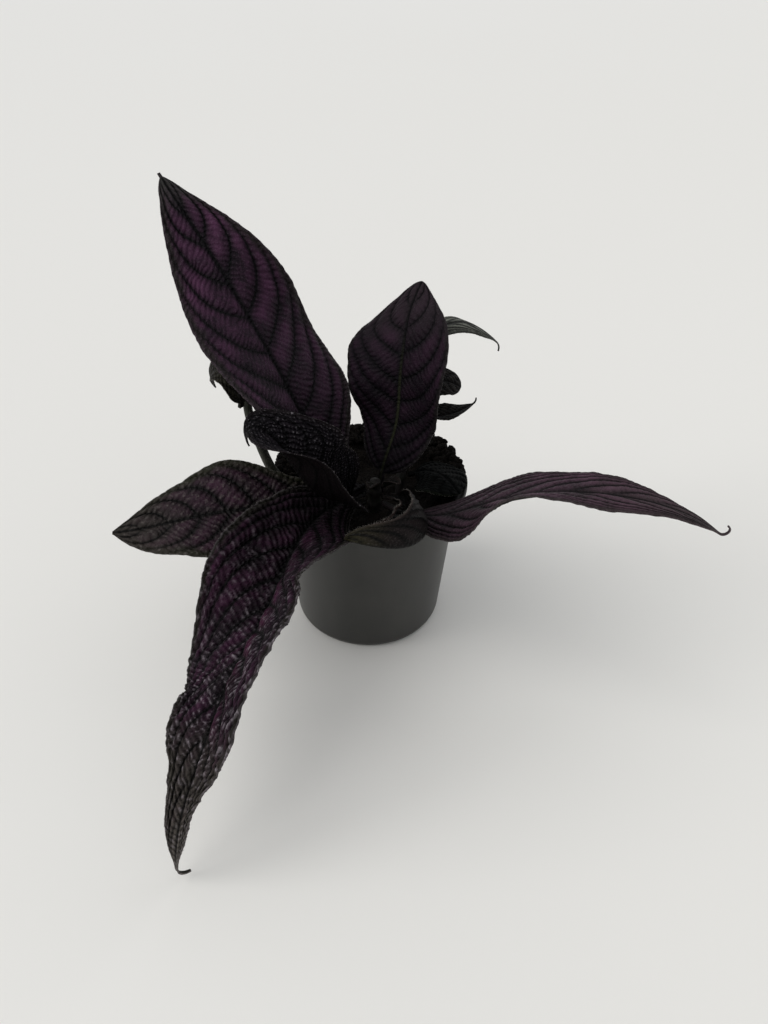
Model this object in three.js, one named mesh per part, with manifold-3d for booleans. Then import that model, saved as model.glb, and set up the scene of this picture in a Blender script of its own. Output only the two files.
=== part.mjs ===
import * as THREE from 'three';
import { mergeVertices } from 'three/addons/utils/BufferGeometryUtils.js';
import Module from 'manifold-3d';

const wasm = await Module();
wasm.setup();

// A potted strobilanthes, in millimetres, +Z up. The origin is the middle of the pot's flat bottom.

// Pot
const POT_HEIGHT = 98.6;
const RIM_RADIUS = 60;
const WALL_TOP_RADIUS = 54.6;
const BASE_RADIUS = 46;
const BASE_EDGE = 4;
const WALL = 1.4;
const LIP_HEIGHT = 5.5;
const POT_SIDES = 48;
const DRAIN_HOLES = 6;
const DRAIN_RADIUS = 4.5;
const DRAIN_CIRCLE = 31;

// Soil
const SOIL_TOP = 87;
const SOIL_HILL = 1.6;
const CRUMBS = 26;

// Clearances and the thinness of a blade
const GAP = 0.35;
const BLADE = 0.8;

// Leaf stalks, midribs, teeth
const STALK_HALF_WIDTH = 1.5;
const TIP_HALF_WIDTH = 0.5;
const FOOT = 4;
const RIB_DEPTH = 2.6;
const RIB_HALF_WIDTH = 1.8;
const TOOTH = 0.45;
const VEIN_SWEEP = 0.2;
const HOOK_STEPS = 3;

const radians = THREE.MathUtils.degToRad;
const mix = THREE.MathUtils.lerp;

// Colour, roughness: one material a node, so that each can be told apart.
function finish(color, roughness) {
  return new THREE.MeshStandardMaterial({ color, roughness, metalness: 0 });
}

// A repeatable draw between 0 and 1.
function seededDraw(seed) {
  let state = seed;
  return () => {
    state = (state * 16807) % 2147483647;
    return state / 2147483647;
  };
}

// A solid from a closed geometry: shared corners merged, slivers without area dropped.
function solidOf(geometry) {
  const bare = geometry.clone();
  bare.deleteAttribute('normal');
  bare.deleteAttribute('uv');
  const merged = mergeVertices(bare, 1e-4);
  const index = merged.index.array;
  const corners = [];
  for (let i = 0; i < index.length; i += 3) {
    const [a, b, c] = [index[i], index[i + 1], index[i + 2]];
    if (a !== b && b !== c && c !== a) corners.push(a, b, c);
  }
  return new wasm.Manifold(new wasm.Mesh({
    numProp: 3,
    vertProperties: new Float32Array(merged.attributes.position.array),
    triVerts: new Uint32Array(corners),
  }));
}

// The geometry of a solid, and the largest piece of it where a cut left crumbs.
function geometryOf(solid) {
  const pieces = solid.decompose();
  pieces.sort((one, other) => other.volume() - one.volume());
  const mesh = pieces[0].getMesh();
  const geometry = new THREE.BufferGeometry();
  geometry.setAttribute('position', new THREE.BufferAttribute(mesh.vertProperties, 3));
  geometry.setIndex(new THREE.BufferAttribute(mesh.triVerts, 1));
  geometry.computeVertexNormals();
  return geometry;
}

// A closed body through rings of equal length: a wall between neighbours, and a strip cap at each
// end that joins point k with its partner on the other face. Both faces are split alike.
function loft(rings) {
  const count = rings[0].length;
  const half = count / 2;
  const at = (row, k) => row * count + (k % count);
  const index = [];
  for (let row = 0; row + 1 < rings.length; row += 1) {
    for (let k = 0; k < count; k += 1) {
      const under = k >= half;
      const column = under ? count - 2 - k : k;
      const left = column < (half - 1) / 2;
      const [a, b, c, d] = [at(row, k), at(row, k + 1), at(row + 1, k + 1), at(row + 1, k)];
      if (left !== under) index.push(a, b, c, a, c, d);
      else index.push(a, b, d, b, c, d);
    }
  }
  const last = rings.length - 1;
  for (let k = 0; k + 1 < half; k += 1) {
    const partner = count - 1 - k;
    index.push(at(0, k), at(0, partner), at(0, partner - 1), at(0, k), at(0, partner - 1), at(0, k + 1));
    index.push(at(last, k), at(last, k + 1), at(last, partner - 1));
    index.push(at(last, k), at(last, partner - 1), at(last, partner));
  }
  const geometry = new THREE.BufferGeometry();
  const points = rings.flat().flatMap((point) => [point.x, point.y, point.z]);
  geometry.setAttribute('position', new THREE.Float32BufferAttribute(points, 3));
  geometry.setIndex(index);
  return geometry;
}

// A smooth curve through a short list of values, read at t from 0 to 1.
function along(values, t) {
  const place = t * (values.length - 1);
  const i = Math.min(Math.floor(place), values.length - 2);
  const value = (k) => values[THREE.MathUtils.clamp(k, 0, values.length - 1)];
  const [a, b, c, d] = [value(i - 1), value(i), value(i + 1), value(i + 2)];
  const f = place - i;
  return b + 0.5 * f * (c - a + f * (2 * a - 5 * b + 4 * c - d + f * (3 * (b - c) + d - a)));
}

// Half the blade's width at b, from 0 at its base to 1 at its tip. It is widest at leaf.widest.
function bladeHalfWidth(leaf, b) {
  if (b <= 0 || b >= 1) return 0;
  const base = (b / leaf.widest) ** leaf.widest;
  const tip = ((1 - b) / (1 - leaf.widest)) ** (1 - leaf.widest);
  return (leaf.width / 2) * (base * tip) ** leaf.slim * along(leaf.shape, b);
}

// The midrib is laid like a road: so long, turning to each heading, rising at each angle, banked to
// the side. Headings count anticlockwise from +X, and a positive bank lifts the left margin. Past the
// blade a thread-like tip of leaf.hook.reach can run on and turn up by leaf.hook.turn.
function midrib(leaf, steps) {
  const hook = leaf.hook ?? { reach: 0, turn: 0 };
  const hookSteps = leaf.hook ? HOOK_STEPS : 0;
  const place = new THREE.Vector3(...leaf.start);
  const path = [];
  let before = null;
  for (let i = 0; i <= steps + hookSteps; i += 1) {
    const t = Math.min(1, i / steps);
    const past = hookSteps ? Math.max(0, i - steps) / hookSteps : 0;
    const pace = i > steps ? hook.reach / hookSteps : leaf.length / steps;
    const heading = radians(along(leaf.heading, t));
    const rise = radians(along(leaf.rise, t) + hook.turn * past);
    const bank = radians(along(leaf.bank, t));
    const forward = new THREE.Vector3(Math.cos(rise) * Math.cos(heading), Math.cos(rise) * Math.sin(heading),
      Math.sin(rise));
    const level = new THREE.Vector3(-Math.sin(heading), Math.cos(heading), 0);
    const upright = new THREE.Vector3().crossVectors(forward, level);
    const left = level.clone().multiplyScalar(Math.cos(bank)).addScaledVector(upright, Math.sin(bank));
    const face = upright.clone().multiplyScalar(Math.cos(bank)).addScaledVector(level, -Math.sin(bank));
    if (before) place.addScaledVector(forward.clone().add(before), pace / 2);
    path.push({ t, place: place.clone(), forward, left, face });
    before = forward;
  }
  return path;
}

// One cross-section of a leaf, upper face from left to right and under face back. Each half bends up
// from the midrib by fold, turns on by cup towards the margin, and is quilted between the side veins.
function leafRing(leaf, station, row) {
  const { t, place, left, face } = station;
  const b = (t * leaf.length - leaf.stalk) / (leaf.length - leaf.stalk);
  const blade = bladeHalfWidth(leaf, b);
  const share = Math.min(1, blade / 12);
  const tooth = TOOTH * share * (row % 2 ? 1 : -1);
  const half = Math.hypot(blade, mix(STALK_HALF_WIDTH, TIP_HALF_WIDTH, t)) + tooth;
  const fold = radians(along(leaf.fold, t));
  const cup = radians(leaf.cup ?? 0);
  const skew = radians(along(leaf.skew ?? [0, 0], t));
  const ribDepth = mix(RIB_DEPTH, BLADE * 1.2, t);
  const rib = Math.min(RIB_HALF_WIDTH, half * 0.5);
  const steps = [0, rib, mix(rib, half, 0.36), mix(rib, half, 0.7), half];
  const upper = [];
  const under = [];
  for (const side of [1, -1]) {
    let across = 0;
    let lift = 0;
    steps.forEach((distance, k) => {
      const u = distance / half;
      const middle = k ? (steps[k - 1] + distance) / 2 / half : 0;
      const angle = fold + side * skew + cup * u;
      const slope = fold + side * skew + cup * middle;
      if (k) {
        across += (distance - steps[k - 1]) * Math.cos(slope);
        lift += (distance - steps[k - 1]) * Math.sin(slope);
      }
      const phase = leaf.veins * (b - VEIN_SWEEP * u ** 1.5);
      const quilt = k ? leaf.quilt * share * (Math.abs(Math.sin(Math.PI * phase)) - 0.6) : 0;
      const wave = leaf.wave * share * u * u * Math.sin(2 * Math.PI * leaf.waves * b + 1.3 * side);
      const normal = left.clone().multiplyScalar(-side * Math.sin(angle))
        .addScaledVector(face, Math.cos(angle));
      const point = place.clone().addScaledVector(left, side * across).addScaledVector(face, lift)
        .addScaledVector(normal, quilt + wave);
      const depth = BLADE + (ribDepth - BLADE) * Math.max(0, 1 - (distance / RIB_HALF_WIDTH) ** 2);
      const below = point.clone().addScaledVector(k ? normal : face, -depth);
      if (side > 0) {
        upper.unshift(point);
        under.unshift(below);
      } else if (k) {
        upper.push(point);
        under.push(below);
      }
    });
  }
  return [...upper, ...under.reverse()];
}

// The whole leaf, with its foot run on into the stem: the stem is cut away from it afterwards.
function leafGeometry(leaf) {
  const finer = 4;
  const path = midrib(leaf, leaf.rows * finer);
  const foot = path[0].forward.clone().multiplyScalar(-FOOT);
  const rings = [leafRing(leaf, path[0], 0).map((point) => point.add(foot))];
  for (let row = 0; row <= leaf.rows; row += 1) rings.push(leafRing(leaf, path[row * finer], row));
  for (const station of path.slice(leaf.rows * finer + 1)) rings.push(leafRing(leaf, station, 0));
  return loft(rings);
}

// A round stem along a curve through its points, with a swelling where each leaf pair grew.
function stemGeometry(stem, extra = 0) {
  const sides = 10;
  const curve = new THREE.CatmullRomCurve3(stem.points.map((point) => new THREE.Vector3(...point)));
  curve.points[0].z -= extra;
  curve.points[curve.points.length - 1].z += extra;
  const frames = curve.computeFrenetFrames(stem.rows);
  const rings = [];
  for (let row = 0; row <= stem.rows; row += 1) {
    const centre = curve.getPointAt(row / stem.rows);
    let radius = mix(stem.radius, stem.tipRadius, row / stem.rows) + extra;
    for (const height of stem.joints) radius += 0.7 * Math.exp(-(((centre.z - height) / 2.2) ** 2));
    if (row === stem.rows) radius *= 0.6;
    const ring = [];
    for (let k = 0; k < sides; k += 1) {
      const turn = (2 * Math.PI * k) / sides;
      ring.push(centre.clone().addScaledVector(frames.normals[row], radius * Math.cos(turn))
        .addScaledVector(frames.binormals[row], radius * Math.sin(turn)));
    }
    rings.push(ring);
  }
  return loft(rings);
}

// The pot: one turned shell with a rounded bottom edge, a thin flared lip and drain holes.
function potGeometry() {
  const wallAngle = Math.atan2(WALL_TOP_RADIUS - BASE_RADIUS, POT_HEIGHT);
  const lipStart = POT_HEIGHT - LIP_HEIGHT;
  const edge = (radius, k) => {
    const turn = -Math.PI / 2 + k * (Math.PI / 2 - wallAngle);
    return [BASE_RADIUS - BASE_EDGE + radius * Math.cos(turn), BASE_EDGE + radius * Math.sin(turn)];
  };
  const outline = [
    [0, 0], edge(BASE_EDGE, 0), edge(BASE_EDGE, 0.35), edge(BASE_EDGE, 0.7), edge(BASE_EDGE, 1),
    [WALL_TOP_RADIUS, lipStart], [WALL_TOP_RADIUS + 1.6, lipStart + 2.6], [RIM_RADIUS - 0.6, POT_HEIGHT - 1.5],
    [RIM_RADIUS, POT_HEIGHT - 0.9], [RIM_RADIUS - 0.5, POT_HEIGHT], [RIM_RADIUS - 2, POT_HEIGHT],
    [WALL_TOP_RADIUS + 0.3, lipStart + 3.2], [WALL_TOP_RADIUS - WALL, lipStart],
    edge(BASE_EDGE - WALL, 1), edge(BASE_EDGE - WALL, 0.5), edge(BASE_EDGE - WALL, 0), [0, WALL],
  ];
  const shell = new THREE.LatheGeometry(outline.map(([r, z]) => new THREE.Vector2(r, z)), POT_SIDES);
  let solid = solidOf(shell.rotateX(Math.PI / 2));
  for (let k = 0; k < DRAIN_HOLES; k += 1) {
    const turn = (2 * Math.PI * (k + 0.5)) / DRAIN_HOLES;
    const hole = new THREE.CylinderGeometry(DRAIN_RADIUS, DRAIN_RADIUS, 3 * WALL, 12).rotateX(Math.PI / 2)
      .translate(DRAIN_CIRCLE * Math.cos(turn), DRAIN_CIRCLE * Math.sin(turn), WALL / 2);
    solid = solid.subtract(solidOf(hole));
  }
  return geometryOf(solid);
}

// The soil fills the pot to SOIL_TOP, in low hills, heaped to the rim at the back right and the left.
function soilHeight(x, y) {
  const hills = Math.sin(0.13 * x + 1) * Math.cos(0.11 * y) + 0.5 * Math.sin(0.31 * x - 0.27 * y);
  const heap = (cx, cy, high) => high * Math.exp(-((x - cx) ** 2 + (y - cy) ** 2) / 160);
  return SOIL_TOP + SOIL_HILL * hills + heap(35, 38, 14) + heap(-44, 24, 7) + heap(-14, 48, 6);
}

function soilGeometry(stems) {
  const bottom = WALL + GAP;
  const slope = (WALL_TOP_RADIUS - BASE_RADIUS) / (POT_HEIGHT - LIP_HEIGHT);
  const wallAt = (z) => BASE_RADIUS + slope * (z - BASE_EDGE) - WALL - 2 * GAP;
  const outline = [[0, bottom], [BASE_RADIUS - BASE_EDGE - 1, bottom], [wallAt(BASE_EDGE), BASE_EDGE],
    [wallAt(SOIL_TOP), SOIL_TOP]];
  for (const share of [0.84, 0.66, 0.48, 0.3, 0.14, 0]) outline.push([wallAt(SOIL_TOP) * share, SOIL_TOP]);
  const body = new THREE.LatheGeometry(outline.map(([r, z]) => new THREE.Vector2(r, z)), 30);
  body.rotateX(Math.PI / 2);
  const point = body.attributes.position;
  for (let i = 0; i < point.count; i += 1) {
    if (point.getZ(i) > SOIL_TOP - 1) point.setZ(i, soilHeight(point.getX(i), point.getY(i)));
  }
  let solid = solidOf(body);
  const draw = seededDraw(41);
  for (let k = 0; k < CRUMBS; k += 1) {
    const turn = 2 * Math.PI * draw();
    const out = 47 * Math.sqrt(draw());
    const size = 1.6 + 1.4 * draw();
    const [x, y] = [out * Math.cos(turn), out * Math.sin(turn)];
    const crumb = new THREE.IcosahedronGeometry(size, 0).scale(1, 0.8, 0.7).rotateZ(3 * draw())
      .translate(x, y, soilHeight(x, y) + 0.1 * size);
    solid = solid.add(solidOf(crumb));
  }
  for (const stem of stems) solid = solid.subtract(solidOf(stemGeometry(stem, GAP)));
  return geometryOf(solid);
}

// Stems, from below the soil up
const mainStem = {
  name: 'main_stem', points: [[4, -16, 58], [4, -16, 82], [4, -16.5, 98], [4.5, -17, 110]], radius: 4,
  tipRadius: 3, joints: [93, 102], rows: 16, color: 0x5b5545,
};
const rearStem = {
  name: 'rear_stem', points: [[19, 2, 60], [19, 3, 88], [22.5, 12, 115], [24, 20, 140], [24, 23, 166]],
  radius: 2.7, tipRadius: 1.7, joints: [96, 130, 142], rows: 16, color: 0x4b4a3a,
};
const oldStem = {
  name: 'old_stem', radius: 3.4, tipRadius: 2.4, joints: [98, 128], rows: 16, color: 0x87876c,
  points: [[-38, -6, 60], [-42, -6, 86], [-54, -3.5, 101.5], [-60.5, -1, 113], [-68.5, 4, 137], [-70, 6, 150]],
};
const stems = [mainStem, rearStem, oldStem];

// Leaves. Lists of headings, rises, banks, folds and skews run evenly from the stalk's foot to the tip.
const big = { stalk: 15, veins: 8, quilt: 0.8, wave: 0.8, waves: 3, rows: 34 };
const small = { stalk: 5, veins: 6, quilt: 0.5, wave: 0.4, waves: 2, rows: 14 };
const leaves = [
  { ...big, name: 'leaf_tall', on: mainStem, start: [-0.4, -13.9, 99.4], length: 210.3, width: 63,
    widest: 0.43, slim: 1.13, shape: [1.02, 1.32, 1.24, 1.04, 0.8],
    heading: [183, 149, 144, 144, 146], rise: [39, 58, 53, 49, 48], bank: [-9, -10, -14, -29, -15],
    fold: [23, 22, 2, 6, -6], skew: [9, 18, 20, 5, 8], hook: { reach: 2.5, turn: 0 }, color: 0x43303f },
  { ...big, name: 'leaf_upright', on: mainStem, start: [7, -13.8, 98.3], length: 130.4, width: 61, rows: 26,
    widest: 0.46, slim: 1.15, shape: [0.95, 0.9, 1.04, 1.31, 0.8],
    heading: [24, 42, 66, 76, 56], rise: [92, 66, 87, 55, 36], bank: [23, 9, -7, -28, -16],
    fold: [16, -1, 15, 6, -6], skew: [4, 0, -2, -5, 0], color: 0x3a2f3c },
  { ...big, name: 'leaf_young', on: mainStem, start: [-1, -19.7, 106.5], length: 117, width: 50.7, stalk: 12,
    widest: 0.38, slim: 1.67, shape: [1.01, 1.2, 1.07, 1.31, 0.8, 0.7], quilt: 0.4, rows: 24,
    heading: [232, 232, 222, 161, 152, 170], rise: [6, 29, 51, 57, 14, -115],
    bank: [-69, -48, -30, -1, -27, -32], fold: [58, 60, 56, 66, 36, 5], skew: [-4, -6, -11, 3, -8, 0],
    color: 0x221d24 },
  { ...big, name: 'leaf_left', on: mainStem, start: [-1, -17, 94.1], length: 149, width: 57, rows: 28,
    widest: 0.52, slim: 1.9, shape: [1.02, 0.9, 1.04, 0.96, 0.98],
    heading: [207, 202, 192, 188, 180], rise: [16, 12, 1, -11, -11], bank: [-29, -27, -32, -30, -29],
    fold: [10, 14, 9, 3, -2], skew: [-4, 1, 2, 13, 11], color: 0x3d333a },
  { ...big, name: 'leaf_drooping', on: mainStem, start: [-1, -20.5, 103], length: 255, width: 62.5, stalk: 4,
    widest: 0.39, slim: 1.8, shape: [0.94, 1.09, 1.32, 1.32, 1.23, 0.67, 0.97], wave: 1.2, waves: 5, rows: 38,
    heading: [207, 244, 250, 256, 250, 233, 218], rise: [2, 2, -23, 7, -33, -63, -86],
    bank: [-15, -9, 18, 34, 28, 7, -5], fold: [-10, 12, 31, 8, 10, 23, 24],
    skew: [-2, -11, 5, 10, 9, -10, -16], hook: { reach: 12, turn: -85 }, color: 0x4a3348 },
  { ...big, name: 'leaf_right', on: mainStem, start: [9.1, -20, 97], length: 203, width: 49.3, stalk: 22,
    rows: 32, widest: 0.39, slim: 1.8, shape: [1.24, 1.1, 0.93, 0.92, 1.03],
    heading: [-40, -24, -30, -13, 0], rise: [-3, 33, 28, -3, -38], bank: [-14, 2, -9, -6, -2],
    fold: [5, -12, 12, 1, -8], skew: [-3, 3, -4, 0, 1], hook: { reach: 8, turn: 190 }, color: 0x4c3b49 },
  { ...big, name: 'leaf_curled', on: mainStem, start: [9.3, -19.4, 101.2], length: 100.6, width: 38.8, stalk: 8,
    widest: 0.52, slim: 1.56, shape: [1.01, 0.98, 1.08, 0.95, 1.03], quilt: 0.4, wave: 0.3, cup: 30, rows: 24,
    heading: [-31, -61, -105, -169, -206], rise: [15, 4, 7, 10, -7], bank: [7, 31, 33, 35, 36],
    fold: [37, 66, 67, 57, 49], skew: [3, 4, 0, 1, 2], color: 0x45403a },
  { ...small, name: 'leaf_in_pot', on: rearStem, start: [23.9, 4.7, 98.5], length: 43, width: 38, stalk: 6,
    widest: 0.5, slim: 1.1, shape: [1, 1], heading: [-11, -45, -54], rise: [34, 10, -32],
    bank: [17, -3, -11], fold: [-13, -15, -11], rows: 16, color: 0x26302a },
  { ...small, name: 'leaf_withered', on: oldStem, start: [-72.5, 2.7, 145.9], length: 50, width: 20,
    stalk: 4, widest: 0.38, slim: 1.26, shape: [1.05, 0.92, 1, 1], heading: [159, 146, 151, 159],
    rise: [99, 57, -26, -125], bank: [-14, -16, -32, -40], fold: [10, 11, 10, 9], wave: 0, rows: 18,
    color: 0x77735c },
  { ...small, name: 'leaf_rear_long', on: rearStem, start: [26.3, 24.2, 166.5], length: 71.6, width: 20,
    stalk: 8, widest: 0.49, slim: 2.2, shape: [0.93, 0.94, 0.87, 1.05, 0.99], heading: [39, 31, 28, 22, 17],
    rise: [70, 32, -7, -35, -47], bank: [35, 18, 8, 3, 4], fold: [-6, -9, -12, -20, -12],
    hook: { reach: 7, turn: -60 }, color: 0x6f7069 },
  { ...small, name: 'leaf_rear_round', on: rearStem, start: [26, 22, 140], length: 35.5, width: 29.7,
    widest: 0.54, slim: 1.07, shape: [0.99, 1], heading: [14, 3, -6], rise: [66, 20, -36], bank: [6, 3, 5],
    fold: [9, 1, -1], color: 0x2f3032 },
  { ...small, name: 'leaf_rear_pointed', on: rearStem, start: [26, 18, 131], length: 37.7, width: 21,
    widest: 0.47, slim: 1.77, shape: [1, 1], heading: [1, 9, 16], rise: [3, 6, 30], bank: [-15, -5, -19],
    fold: [25, 16, 9], hook: { reach: 4, turn: 70 }, color: 0x332b29 },
  { ...small, name: 'bud_leaf_left', on: mainStem, start: [4, -20.7, 109], length: 15, width: 7, stalk: 2,
    widest: 0.45, slim: 1.6, shape: [1, 1], heading: [264, 256, 250], rise: [45, 32, 12], bank: [0, 0],
    fold: [35, 35], rows: 10, color: 0x3b3a34 },
  { ...small, name: 'bud_leaf_right', on: mainStem, start: [8.6, -18.4, 108.4], length: 16, width: 8, stalk: 2,
    widest: 0.45, slim: 1.6, shape: [1, 1], heading: [-34, -44, -52], rise: [44, 30, 10], bank: [0, 0],
    fold: [35, 35], rows: 10, color: 0x3b3a34 },
];

const group = new THREE.Group();

function place(name, geometry, material) {
  const mesh = new THREE.Mesh(geometry, material);
  mesh.name = name;
  group.add(mesh);
}

place('pot', potGeometry(), finish(0x393834, 0.6));
place('soil', soilGeometry(stems), finish(0x1b1613, 0.95));
for (const stem of stems) place(stem.name, geometryOf(solidOf(stemGeometry(stem))), finish(stem.color, 0.7));

// Each leaf's foot stops a hair short of the stem that it grew on.
for (const leaf of leaves) {
  const solid = solidOf(leafGeometry(leaf)).subtract(solidOf(stemGeometry(leaf.on, GAP)));
  place(leaf.name, geometryOf(solid), finish(leaf.color, 0.55));
}

export default group;
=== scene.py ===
import math
import bpy
import numpy as np
from mathutils import Matrix, Vector


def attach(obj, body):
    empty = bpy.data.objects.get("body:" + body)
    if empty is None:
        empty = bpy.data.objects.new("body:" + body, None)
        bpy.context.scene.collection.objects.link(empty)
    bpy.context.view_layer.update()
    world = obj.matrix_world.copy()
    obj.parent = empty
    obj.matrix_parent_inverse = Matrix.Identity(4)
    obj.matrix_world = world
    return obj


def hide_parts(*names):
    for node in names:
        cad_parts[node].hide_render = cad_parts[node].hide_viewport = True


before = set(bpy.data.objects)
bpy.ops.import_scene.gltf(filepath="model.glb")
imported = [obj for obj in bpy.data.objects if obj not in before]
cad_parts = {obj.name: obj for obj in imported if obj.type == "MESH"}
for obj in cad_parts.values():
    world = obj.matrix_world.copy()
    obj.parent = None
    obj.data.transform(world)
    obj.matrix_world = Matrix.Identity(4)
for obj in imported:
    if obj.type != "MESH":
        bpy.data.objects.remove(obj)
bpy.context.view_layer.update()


# Camera. It stands 0.6 m from the plant and looks down on it by 36 degrees. Its lens is the one of the
# photograph: focal length and picture centre are in pixels of a picture of 768 by 1024.

picture_width, picture_height = 768, 1024
focal_length = 872.25
centre_across, centre_down = 382.5, 474.0
down_angle, roll_angle = 0.6276, 0.011
camera_place = (0.00861, -0.42528, 0.41032)

camera_data = bpy.data.cameras.new("camera")
camera_data.sensor_width = 36.0
camera_data.lens = focal_length / picture_height * camera_data.sensor_width
camera_data.shift_x = (picture_width / 2 - centre_across) / picture_height
camera_data.shift_y = (centre_down - picture_height / 2) / picture_height
camera_data.clip_start = 0.01
camera_data.clip_end = 20
camera = bpy.data.objects.new("camera", camera_data)
bpy.context.scene.collection.objects.link(camera)
bpy.context.scene.camera = camera

forward = Vector((0, math.cos(down_angle), -math.sin(down_angle)))
level_up = Vector((0, math.sin(down_angle), math.cos(down_angle)))
camera_right = math.cos(roll_angle) * Vector((1, 0, 0)) + math.sin(roll_angle) * level_up
camera_up = math.cos(roll_angle) * level_up - math.sin(roll_angle) * Vector((1, 0, 0))
camera_axes = Matrix((camera_right, camera_up, -forward)).transposed()
camera.matrix_world = Matrix.Translation(camera_place) @ camera_axes.to_4x4()


# Floor and light. The plant stands on a wide pale sheet under an even sky. Broad light comes from the
# left, high and low, and a little from behind at the right, so the shadows fall softly to the right.

bpy.context.scene.view_settings.view_transform = "Standard"


def nodes_of(material):
    """The material's node tree, emptied, and a function that adds a node with its settings and
    inputs, each either a value or another node's output."""
    material.use_nodes = True
    tree = material.node_tree
    tree.nodes.clear()

    def add(kind, inputs=None, **settings):
        node = tree.nodes.new("ShaderNode" + kind)
        for key, value in settings.items():
            setattr(node, key, value)
        for key, value in (inputs or {}).items():
            socket = node.inputs[key]
            if isinstance(value, bpy.types.NodeSocket):
                tree.links.new(value, socket)
            else:
                socket.default_value = value
        return node

    return tree, add


def two_tones(add, value, low, dark, high, light):
    """A colour that runs from dark, where the value is low, to light, where it is high."""
    tone = add("ValToRGB", {"Fac": value})
    for stop, place, color in zip(tone.color_ramp.elements, (low, high), (dark, light)):
        stop.position = place
        stop.color = (*color, 1)
    return tone.outputs["Color"]


def put(name, points, faces, material):
    """A smooth mesh object at the origin, its points turned from millimetres to metres, with one
    material."""
    mesh = bpy.data.meshes.new(name)
    mesh.from_pydata(np.asarray(points, float) / 1000, [], faces)
    mesh.materials.append(material)
    mesh.polygons.foreach_set("use_smooth", np.ones(len(mesh.polygons), bool))
    mesh.update()
    piece = bpy.data.objects.new(name, mesh)
    bpy.context.scene.collection.objects.link(piece)
    return piece


floor_material = bpy.data.materials.new("pale_sheet")
tree, add = nodes_of(floor_material)
cloud = add("TexNoise", {"Scale": 2.2, "Detail": 3.0, "Roughness": 0.5})
tone = two_tones(add, cloud.outputs["Fac"], 0.3, (0.79, 0.775, 0.74), 0.7, (0.82, 0.81, 0.79))
surface = add("BsdfPrincipled", {"Base Color": tone, "Roughness": 0.6})
add("OutputMaterial", {"Surface": surface.outputs["BSDF"]})

sheet_side, sheet_front, sheet_back = 6000, -2500, 9000
sheet_points = [(-sheet_side, sheet_front, 0), (sheet_side, sheet_front, 0),
                (sheet_side, sheet_back, 0), (-sheet_side, sheet_back, 0)]
floor = put("floor", sheet_points, [(0, 1, 2, 3)], floor_material)

world = bpy.data.worlds.new("studio")
bpy.context.scene.world = world
world.use_nodes = True
sky = world.node_tree.nodes["Background"].inputs
sky["Color"].default_value = (0.96, 0.98, 1.0, 1)
sky["Strength"].default_value = 0.6


def broad_light(name, ahead, power, spread, color):
    """A sun that shines along a direction, from a patch of sky that many degrees wide."""
    data = bpy.data.lights.new(name, "SUN")
    data.energy = power
    data.angle = math.radians(spread)
    data.color = color
    light = bpy.data.objects.new(name, data)
    light.rotation_mode = "QUATERNION"
    light.rotation_quaternion = Vector(ahead).to_track_quat("-Z", "Y")
    bpy.context.scene.collection.objects.link(light)


broad_light("left_sky", (0.45, 0.25, -0.85), 0.85, 40, (1.0, 0.99, 0.97))
broad_light("left_window", (0.85, 0.2, -0.45), 0.85, 30, (1.0, 0.99, 0.98))
broad_light("right_sky", (-0.6, -0.5, -0.6), 0.3, 60, (0.97, 0.98, 1.0))


# Pot. A 12 cm nursery pot moulded of thin dark grey plastic: a tapered wall, a rounded bottom edge, a
# thin flared lip and six drain holes in a circle in the bottom. It stands free on its flat bottom.

pot_height, rim_radius = 98.6, 60.0
wall_top, base_radius, base_edge = 54.6, 46.0, 4.0
wall, lip = 1.4, 5.5
drain_holes, drain_radius, drain_circle = 6, 4.5, 31.0


def ring_quads(rows, sides):
    """Faces between neighbouring rings, whose points are numbered row * sides + side. The last side
    meets the first."""
    row, side = np.meshgrid(np.arange(rows - 1), np.arange(sides), indexing="ij")
    here, after = row * sides + side, row * sides + (side + 1) % sides
    return np.stack([here, after, after + sides, here + sides], -1).reshape(-1, 4).tolist()


def repeated(faces, size, count):
    """The faces of count copies of a small closed shape of size points."""
    return [[corner + size * k for corner in face] for k in range(count) for face in faces]


def around(profile, sides):
    """Points and faces of a profile of (radius, height) turned about Z: each point becomes a ring of
    (radius cos angle, radius sin angle, height). The first and last lie on the axis as one point."""
    profile = np.asarray(profile, float)
    angle = np.linspace(0, 2 * np.pi, sides, endpoint=False)
    inner = profile[1:-1]
    radius = inner[:, :1] * np.ones(sides)
    height = inner[:, 1:] * np.ones(sides)
    ring = np.stack([radius * np.cos(angle), radius * np.sin(angle), height], -1).reshape(-1, 3)
    points = np.concatenate([ring, [[0, 0, profile[0, 1]], [0, 0, profile[-1, 1]]]])
    side = np.arange(sides)
    after = (side + 1) % sides
    first = np.stack([after, side, np.full(sides, len(ring))], -1)
    last = np.stack([side, after, np.full(sides, len(ring) + 1)], -1)
    last[:, :2] += (len(inner) - 1) * sides
    return points, ring_quads(len(inner), sides) + first.tolist() + last.tolist()


def rounded(points, cut, steps):
    """A profile with each inner corner cut into a short arc that starts at most cut away from it:
    corner + back (1 - s) squared + on s squared, for s from 0 to 1."""
    points = np.asarray(points, float)
    soft = [points[0]]
    for before, corner, after in zip(points[:-2], points[1:-1], points[2:]):
        back, on = before - corner, after - corner
        back *= min(0.4, cut / np.linalg.norm(back))
        on *= min(0.4, cut / np.linalg.norm(on))
        for k in range(steps + 1):
            s = k / steps
            soft.append(corner + back * (1 - s) ** 2 + on * s ** 2)
    return np.array(soft + [points[-1]])


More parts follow.
